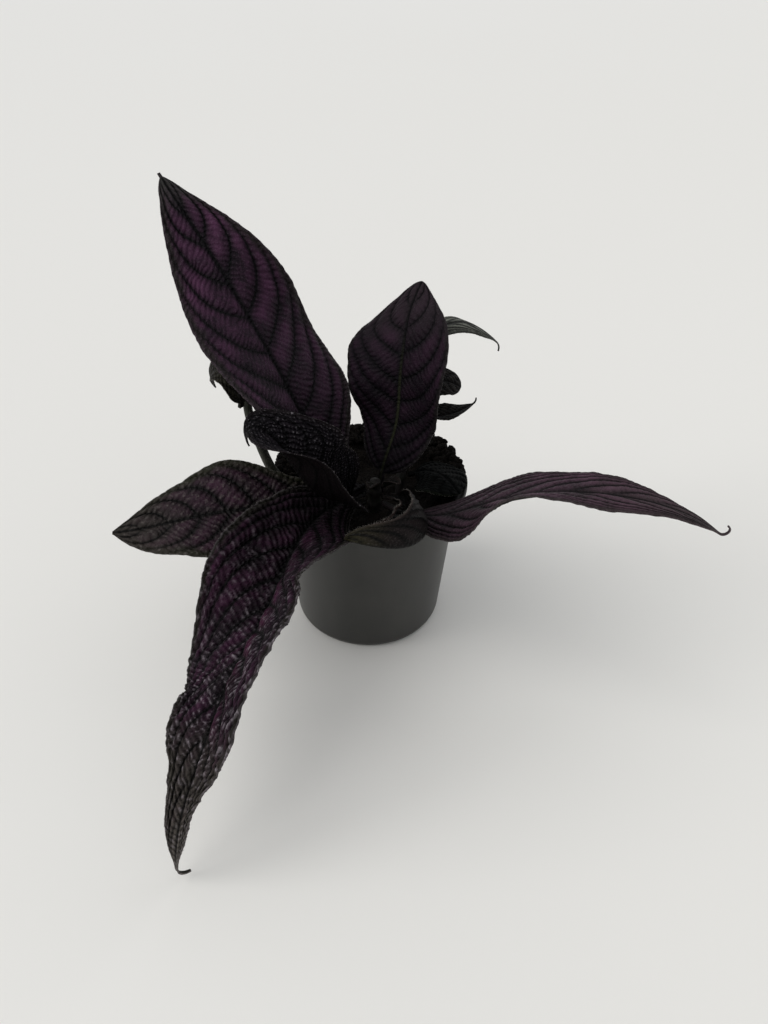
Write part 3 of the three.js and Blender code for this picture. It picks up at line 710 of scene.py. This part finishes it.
purple_top = leaf_material("leaf_purple_top", bay=(0.066, 0.022, 0.053), dark=(0.0032, 0.0026, 0.0036),
                           margin=(0.012, 0.010, 0.009), glint_and_hair=(0.14, 0.09, 0.13), amount=0.4,
                           patches=38.0, tip=(0.045, 0.045, 0.040), tip_from=0.19, tip_to=0.212,
                           foot=(0.04, 0.15), cover=0.38, relief=0.0014)
purple_under = leaf_material("leaf_purple_under", bay=(0.030, 0.016, 0.018), dark=(0.012, 0.008, 0.008),
                             margin=(0.02, 0.02, 0.014), glint_and_hair=(0.06, 0.05, 0.05), amount=0.3)
tall = dict(start=[-0.4, -13.9, 99.4], length=210.3, width=63, stalk=15, widest=0.43, slim=1.13,
            shape=[1.02, 1.32, 1.24, 1.04, 0.8], heading=[183, 149, 144, 144, 146],
            rise=[39, 58, 53, 49, 48], bank=[-9, -10, -14, -29, -15], fold=[23, 22, 2, 6, -6],
            skew=[9, 18, 20, 5, 8], hook=(2.5, 0), end=0.9, veins=9, quilt=1.2, ridges=(0.25, 0.7),
            wave=0.8, waves=3, ladder=3.0, sweep=1.05, line=0.6, margin=9.0, fade=0.6)
leaf_piece("leaf_tall_skin", "leaf_tall", tall, 280, 44, (purple_top, purple_under))


# Upright leaf. A younger blade that stands up in the middle and bows over at its tip, in front of the
# tall one: darker and more blotched, with an even fine ladder and an olive lower rib.

upright_top = leaf_material("leaf_upright_top", bay=(0.030, 0.012, 0.025), dark=(0.0035, 0.003, 0.004),
                            margin=(0.009, 0.008, 0.008), glint_and_hair=(0.06, 0.045, 0.055), amount=0.3,
                            patches=30.0, shine=0.05, tip=(0.018, 0.012, 0.015), tip_from=0.09,
                            tip_to=0.13, cover=0.42, rib=(0.022, 0.023, 0.013), rib_to=0.10)
upright = dict(start=[7, -13.8, 98.3], length=130.4, width=61, stalk=15, widest=0.46, slim=1.15,
               shape=[0.95, 0.9, 1.04, 1.31, 0.8], heading=[24, 42, 66, 76, 56],
               rise=[92, 66, 87, 55, 36], bank=[23, 9, -7, -28, -16], fold=[16, -1, 15, 6, -6],
               skew=[4, 0, -2, -5, 0], veins=8, quilt=0.8, ridges=(0.15, 0.4), wave=0.8, waves=3,
               ladder=3.3, line=0.5, margin=3.5)
leaf_piece("leaf_upright_skin", "leaf_upright", upright, 200, 44, (upright_top, purple_under))


# Young leaf. It grows from the top of the main stem, still folded like a V: nearly black, pebbled all
# over, with pale glints on the pebbles and their hair painted as highlights, its tip bent down behind.

young_top = leaf_material("leaf_young_top", bay=(0.010, 0.007, 0.010), dark=(0.004, 0.0035, 0.0045),
                          margin=(0.008, 0.006, 0.007), glint_and_hair=(0.26, 0.24, 0.26), amount=0.9,
                          shine=0.04, fringe=0.0, relief=0.0014)
young_under = leaf_material("leaf_young_under", bay=(0.008, 0.005, 0.006), dark=(0.0025, 0.002, 0.0022),
                            margin=(0.004, 0.0032, 0.0035), glint_and_hair=(0.03, 0.025, 0.025), amount=0.2,
                            shine=0.04, fringe=0.1)
young = dict(start=[-1, -19.7, 106.5], length=117, width=50.7, stalk=12, widest=0.38, slim=1.67,
             shape=[1.01, 1.2, 1.07, 1.31, 0.8, 0.7], heading=[232, 232, 222, 161, 152, 170],
             rise=[6, 29, 51, 57, 14, -115], bank=[-69, -48, -30, -1, -27, -32],
             fold=[58, 60, 56, 66, 36, 5], skew=[-4, -6, -11, 3, -8, 0], veins=8, quilt=0.5,
             ridges=(0.5, 0.75), wave=0.8, waves=3, ladder=2.4, beads=0.85, sweep=1.5, fade=0.0,
             wild=1.4)
leaf_piece("leaf_young_skin", "leaf_young", young, 190, 44, (young_top, young_under))


# Left leaf. A broad blade of the main stem that reaches out level to the left over the rim, dusky
# purple with dull olive margins and a grey tip.

left_top = leaf_material("leaf_left_top", bay=(0.038, 0.015, 0.028), dark=(0.004, 0.0035, 0.0035),
                         margin=(0.014, 0.014, 0.008), glint_and_hair=(0.11, 0.095, 0.09), amount=0.7,
                         grain=400.0, relief=0.0014, tip=(0.030, 0.026, 0.022), tip_from=0.10,
                         tip_to=0.15)
left = dict(start=[-1, -17, 94.1], length=149, width=57, stalk=15, widest=0.52, slim=1.9,
            shape=[1.02, 0.9, 1.04, 0.96, 0.98], heading=[207, 202, 192, 188, 180],
            rise=[16, 12, 1, -11, -11], bank=[-29, -27, -32, -30, -29], fold=[10, 14, 9, 3, -2],
            skew=[-4, 1, 2, 13, 11], end=0.9, veins=8, quilt=1.0, ridges=(0.3, 0.7), wave=0.8,
            waves=3, ladder=3.5, margin=9.0)
leaf_piece("leaf_left_skin", "leaf_left", left, 220, 44, (left_top, purple_under))


# Drooping leaf. The longest one hangs over the pot's front left almost to the ground, puckered all
# over into pebbles whose tops catch the light in painted highlights, with a reddish flush beside its
# rib and a grey end.

drooping_top = leaf_material("leaf_drooping_top", bay=(0.050, 0.014, 0.038), dark=(0.002, 0.0017, 0.002),
                             margin=(0.009, 0.008, 0.006), glint_and_hair=(0.26, 0.225, 0.25), amount=1.0,
                             patches=28.0, grain=230.0, rung=0.06, shine=0.06, relief=0.0018,
                             tip=(0.10, 0.088, 0.075), tip_from=0.17, tip_to=0.25, cover=0.43,
                             flush=(0.085, 0.013, 0.048), flush_to=0.19, specks=(0.05, 0.16))
drooping = dict(start=[-1, -20.5, 103], length=255, width=62.5, stalk=4, widest=0.39, slim=1.8,
                shape=[0.94, 1.09, 1.32, 1.32, 1.23, 0.67, 0.97],
                heading=[207, 244, 250, 256, 250, 233, 218], rise=[2, 2, -23, 7, -33, -63, -86],
                bank=[-15, -9, 18, 34, 28, 7, -5], fold=[-10, 12, 31, 8, 10, 23, 24],
                skew=[-2, -11, 5, 10, 9, -10, -16], hook=(12, -85), end=1.1, teeth=1.2,
                hairs=(700, 0.9), veins=13, quilt=1.2, ridges=(0.8, 1.4), wave=1.2, waves=5,
                crumple=0.9, ladder=3.1, beads=0.25, fade=0.3, calm=110, margin=7.0)
leaf_piece("leaf_drooping_skin", "leaf_drooping", drooping, 360, 44, (drooping_top, purple_under))


# Right leaf. A narrow blade on a long stalk that lies over the rim and arches out to the right, mauve
# and smoother than the others, to a dull thin tip whose thread curls up.

right_top = leaf_material("leaf_right_top", bay=(0.078, 0.038, 0.060), dark=(0.007, 0.005, 0.006),
                          margin=(0.018, 0.014, 0.014), glint_and_hair=(0.12, 0.09, 0.10), amount=0.4,
                          tip=(0.058, 0.040, 0.044), tip_from=0.12, tip_to=0.2, foot=(0.04, 0.11))
right = dict(start=[9.1, -20, 97], length=203, width=49.3, stalk=22, widest=0.39, slim=1.8,
             shape=[1.24, 1.1, 0.93, 0.92, 1.03], heading=[-40, -24, -30, -13, 0],
             rise=[-3, 33, 28, -3, -38], bank=[-14, 2, -9, -6, -2], fold=[5, -12, 12, 1, -8],
             skew=[-3, 3, -4, 0, 1], hook=(8, 190), end=0.7, veins=9, quilt=1.0, ridges=(0.1, 0.5),
             wave=0.8, waves=3, ladder=3.4, sweep=1.8, margin=4.0)
leaf_piece("leaf_right_skin", "leaf_right", right, 280, 36, (right_top, purple_under))


# Curled leaf. It coils round on the front rim like a shell and shows its under face, olive at the tip
# and brown-grey at the round end. Its upper face, inside the coil, is a near-black grey that is
# painted shade.

curled_top = leaf_material("leaf_curled_top", bay=(0.010, 0.010, 0.009), dark=(0.004, 0.004, 0.004),
                           margin=(0.03, 0.02, 0.018), glint_and_hair=(0.05, 0.045, 0.045), amount=0.3)
curled_under = leaf_material("leaf_curled_under", bay=(0.013, 0.008, 0.009),
                             dark=(0.003, 0.0025, 0.0025), margin=(0.030, 0.022, 0.020),
                             glint_and_hair=(0.09, 0.08, 0.075), amount=0.5, tip=(0.026, 0.024, 0.010),
                             tip_from=0.075, tip_to=0.105, fringe=0.6)
curled = dict(start=[9.3, -19.4, 101.2], length=100.6, width=38.8, stalk=8, widest=0.52, slim=1.56,
              shape=[1.01, 0.98, 1.08, 0.95, 1.03], heading=[-31, -61, -105, -169, -206],
              rise=[15, 4, 7, 10, -7], bank=[7, 31, 33, 35, 36], fold=[37, 66, 67, 57, 49],
              skew=[3, 4, 0, 1, 2], cup=30, hairs=(420, 1.2), veins=8, quilt=0.6, ridges=(0.2, 0.5),
              wave=0.3, waves=3, ladder=2.4, sweep=1.5, margin=2.0, line=0.9)
leaf_piece("leaf_curled_skin", "leaf_curled", curled, 170, 34, (curled_top, curled_under))


# Leaf in the pot. A small, nearly round leaf of the rear stem, very dark green, darkened almost to
# black as painted shade inside the pot, that lies over the soil and the right rim.

green_and_shade_top = leaf_material("leaf_green_top", bay=(0.0030, 0.0036, 0.0032), dark=(0.0012, 0.0014, 0.0014),
                          margin=(0.004, 0.005, 0.003), glint_and_hair=(0.010, 0.013, 0.011), amount=0.3,
                          shine=0.02)
green_under = leaf_material("leaf_green_under", bay=(0.012, 0.015, 0.010), dark=(0.006, 0.007, 0.005),
                            margin=(0.014, 0.016, 0.01), glint_and_hair=(0.03, 0.03, 0.025), amount=0.3)
in_pot = dict(start=[23.9, 4.7, 98.5], length=43, width=38, stalk=6, widest=0.5, slim=1.1,
              heading=[-11, -45, -54], rise=[34, 10, -32], bank=[17, -3, -11], fold=[-13, -15, -11],
              veins=6, quilt=0.6, ridges=(0.15, 0.35), wave=0.4, waves=2, ladder=2.4, margin=3.0)
leaf_piece("leaf_in_pot_skin", "leaf_in_pot", in_pot, 70, 28, (green_and_shade_top, green_under))


# Withered leaf. The last leaf of the old stem, dried to a thin olive grey scrap at the stem's end, its
# tip rolled down and brown.

dry_top = leaf_material("leaf_dry_top", bay=(0.045, 0.042, 0.028), dark=(0.016, 0.014, 0.009),
                        margin=(0.012, 0.009, 0.006), glint_and_hair=(0.12, 0.12, 0.09), amount=0.4,
                        foot=(0.0, 0.01), tip=(0.006, 0.004, 0.003), tip_from=0.022, tip_to=0.034)
dry_under = leaf_material("leaf_dry_under", bay=(0.030, 0.026, 0.018), dark=(0.010, 0.008, 0.006),
                          margin=(0.012, 0.009, 0.006), glint_and_hair=(0.07, 0.07, 0.05), amount=0.4)
withered = dict(start=[-72.5, 2.7, 145.9], length=50, width=20, stalk=4, widest=0.38, slim=1.26,
                shape=[1.05, 0.92, 1, 1], heading=[159, 146, 151, 159], rise=[99, 57, -26, -125],
                bank=[-14, -16, -32, -40], fold=[10, 11, 10, 9],
                veins=6, quilt=0.6, ridges=(0.2, 0.5), wave=0.0, waves=2, ladder=2.4, margin=3.0)
leaf_piece("leaf_withered_skin", "leaf_withered", withered, 90, 24, (dry_top, dry_under))


# Rear leaves. Three small leaves of the rear stem, behind the upright leaf: a long narrow one, striped
# pale, at its top, and a brown round one and a brown pointed one below.

pale_top = leaf_material("leaf_pale_top", bay=(0.22, 0.225, 0.19), dark=(0.016, 0.017, 0.014),
                         margin=(0.025, 0.027, 0.021), glint_and_hair=(0.14, 0.14, 0.12), amount=0.4,
                         foot=(0.0, 0.01))
brown_top = leaf_material("leaf_brown_top", bay=(0.014, 0.011, 0.009), dark=(0.005, 0.004, 0.004),
                          margin=(0.007, 0.0065, 0.005), glint_and_hair=(0.04, 0.035, 0.03), amount=0.4,
                          shine=0.04, foot=(0.0, 0.01))
rear_long = dict(start=[26.3, 24.2, 166.5], length=71.6, width=20, stalk=8, widest=0.49, slim=2.2,
                 shape=[0.93, 0.94, 0.87, 1.05, 0.99], heading=[39, 31, 28, 22, 17],
                 rise=[70, 32, -7, -35, -47], bank=[35, 18, 8, 3, 4], fold=[-6, -9, -12, -20, -12],
                 hook=(7, -60), veins=6, quilt=0.5, ridges=(0.1, 0.3), wave=0.4, waves=2, ladder=2.2,
                 sweep=2.5, margin=1.5)
rear_round = dict(start=[26, 22, 140], length=35.5, width=29.7, stalk=5, widest=0.54, slim=1.07,
                  shape=[0.99, 1], heading=[14, 3, -6], rise=[66, 20, -36], bank=[6, 3, 5],
                  fold=[9, 1, -1], veins=6, quilt=0.5, ridges=(0.2, 0.4), wave=0.4, waves=2,
                  ladder=2.2, margin=3.0)
rear_pointed = dict(start=[26, 18, 131], length=37.7, width=21, stalk=5, widest=0.47, slim=1.77,
                    heading=[1, 9, 16], rise=[3, 6, 30], bank=[-15, -5, -19], fold=[25, 16, 9],
                    hook=(4, 70), veins=6, quilt=0.5, ridges=(0.2, 0.4), wave=0.4, waves=2,
                    ladder=2.2, margin=3.0)
leaf_piece("leaf_rear_long_skin", "leaf_rear_long", rear_long, 120, 16, (pale_top, green_under))
leaf_piece("leaf_rear_round_skin", "leaf_rear_round", rear_round, 60, 22, (brown_top, green_under))
leaf_piece("leaf_rear_pointed_skin", "leaf_rear_pointed", rear_pointed, 60, 16,
           (brown_top, green_under))


# Bud leaves. The newest pair at the growing point on top of the main stem, still folded, dark and
# almost smooth.

bud_form = dict(stalk=2, widest=0.45, slim=1.6, bank=[0, 0], fold=[35, 35], veins=5, quilt=0.2,
                ridges=(0.05, 0.1), wave=0.0, waves=2, ladder=1.5, teeth=0.2, hairs=(20, 0.5))
bud_left = dict(start=[4, -20.7, 109], length=15, width=7, heading=[264, 256, 250],
                rise=[45, 32, 12], **bud_form)
bud_right = dict(start=[8.6, -18.4, 108.4], length=16, width=8, heading=[-34, -44, -52],
                 rise=[44, 30, 10], **bud_form)
# Their upper faces use the curled leaf's upper skin, a near-black grey painted as shade.
leaf_piece("bud_leaf_left_skin", "bud_leaf_left", bud_left, 30, 8, (curled_top, green_under))
leaf_piece("bud_leaf_right_skin", "bud_leaf_right", bud_right, 30, 8, (curled_top, green_under))
